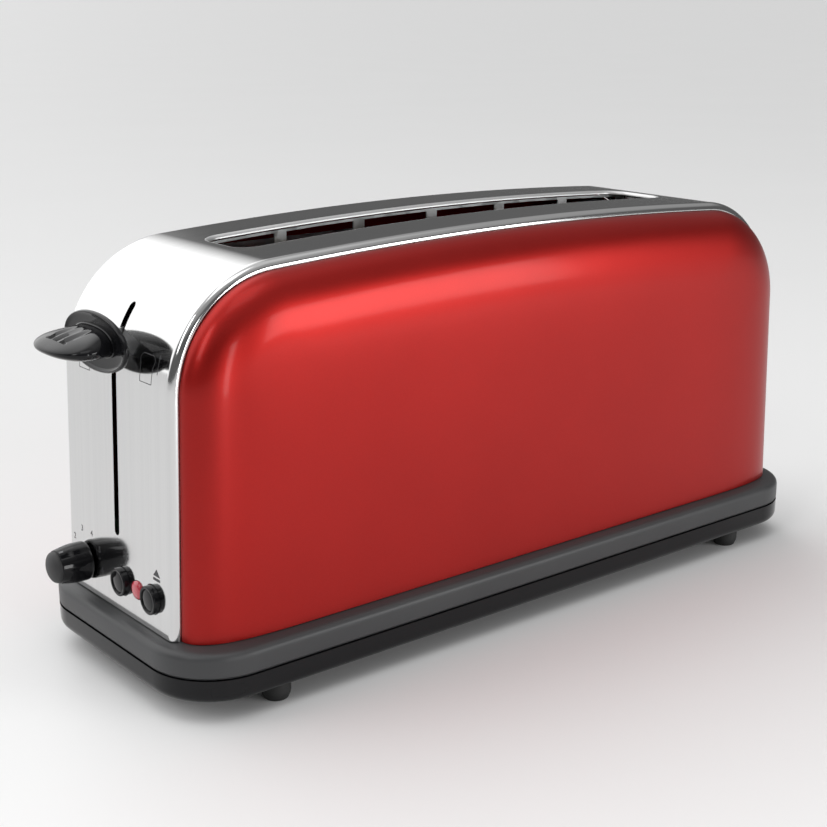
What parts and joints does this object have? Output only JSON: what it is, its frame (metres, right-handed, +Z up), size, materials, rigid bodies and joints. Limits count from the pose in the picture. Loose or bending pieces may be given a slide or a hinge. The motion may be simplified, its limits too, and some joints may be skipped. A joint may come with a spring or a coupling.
{
  "type": "pop-up toaster",
  "caption": "Long-slot pop-up toaster with a steel wrap, bulged red side panels, a lever-driven bread carriage, self-centring guides, browning knob, buttons and crumb tray.",
  "frame": {"origin": "centre of the bounding box on the surface that the feet stand on", "axes": "+X along the toast slot away from the lever end, +Y to the left side seen from the lever end, +Z up"},
  "size_m": [0.4424, 0.15, 0.2043],
  "materials": {
    "polished_steel": "polished stainless steel with a faint brushed grain on top",
    "red_lacquer": "metallic red lacquer, semi gloss",
    "plinth_plastic": "satin dark grey moulding",
    "gloss_black": "gloss black moulding",
    "zinc_steel": "zinc-plated sheet",
    "spring_steel": "bright drawn wire",
    "mica": "mica sheet",
    "board": "green circuit board",
    "copper": "enamelled copper winding",
    "grey_plastic": "matt moulding",
    "red_lens": "translucent red lens",
    "black_rubber": "matt rubber"
  },
  "bodies": {
    "casing": {"base_screw_front_left": "zinc_steel", "base_screw_front_right": "zinc_steel", "base_screw_rear_left": "zinc_steel", "base_screw_rear_right": "zinc_steel", "base_tray": "gloss_black", "cancel_switch": "black_rubber", "chassis_base": "zinc_steel", "chassis_top": "zinc_steel", "control_board": "board", "cord_gland": "black_rubber", "end_plate_front": "zinc_steel", "end_plate_rear": "zinc_steel", "foot_front_left": "black_rubber", "foot_front_right": "black_rubber", "foot_rear_left": "black_rubber", "foot_rear_right": "black_rubber", "frozen_switch": "black_rubber", "guide_rod": "spring_steel", "heat_shield_left": "zinc_steel", "heat_shield_right": "zinc_steel", "heater_board_left": "mica", "heater_board_right": "mica", "indicator_lamp": "red_lens", "indicator_lens": "red_lens", "latch_coil": "copper", "latch_core": "zinc_steel", "plinth": "plinth_plastic", "potentiometer": "grey_plastic", "return_spring": "spring_steel", "rod_bracket": "zinc_steel", "side_panel_left": "red_lacquer", "side_panel_right": "red_lacquer", "steel_wrap": "polished_steel", "terminal_block": "grey_plastic"},
    "carriage": {"bread_rack": "zinc_steel", "carriage_slider": "grey_plastic", "keeper_plate": "zinc_steel", "lever_arm": "zinc_steel", "lever_knob": "gloss_black"},
    "guide_left": {"bread_guide_left": "zinc_steel"},
    "guide_right": {"bread_guide_right": "zinc_steel"},
    "browning_dial": {"browning_knob": "gloss_black", "browning_spindle": "grey_plastic"},
    "frozen_key": {"frozen_button": "gloss_black"},
    "cancel_key": {"cancel_button": "gloss_black"},
    "crumb_drawer": {"crumb_tray": "gloss_black"}
  },
  "joints": [
    {"name": "carriage_slide", "type": "slide", "parent": "casing", "child": "carriage", "axis": [0, 0, 1], "range_m": [-0.087, 0.01], "stiffness_N_per_m": 120, "springref_m": 0.00737, "deforming": ["return_spring"]},
    {"name": "guide_left_slide", "type": "slide", "parent": "casing", "child": "guide_left", "axis": [0, 1, 0], "range_m": [-0.0081, 0.00095]},
    {"name": "guide_right_slide", "type": "slide", "parent": "casing", "child": "guide_right", "axis": [0, -1, 0], "range_m": [-0.0081, 0.00095]},
    {"name": "browning_turn", "type": "hinge", "parent": "casing", "child": "browning_dial", "pos_m": [-0.204, 0.0304, 0.05], "axis": [1, 0, 0], "range_deg": [-112.5, 75]},
    {"name": "frozen_press", "type": "slide", "parent": "casing", "child": "frozen_key", "axis": [1, 0, 0], "range_m": [0, 0.0015], "stiffness_N_per_m": 400, "springref_m": -0.001},
    {"name": "cancel_press", "type": "slide", "parent": "casing", "child": "cancel_key", "axis": [1, 0, 0], "range_m": [0, 0.0015], "stiffness_N_per_m": 400, "springref_m": -0.001},
    {"name": "crumb_tray_slide", "type": "slide", "parent": "casing", "child": "crumb_drawer", "axis": [1, 0, 0], "range_m": [0, 0.3]}
  ],
  "couplings": [
    {"joint": "guide_left_slide", "follows": "carriage_slide", "ratio": 0.092},
    {"joint": "guide_right_slide", "follows": "carriage_slide", "ratio": 0.092}
  ]
}
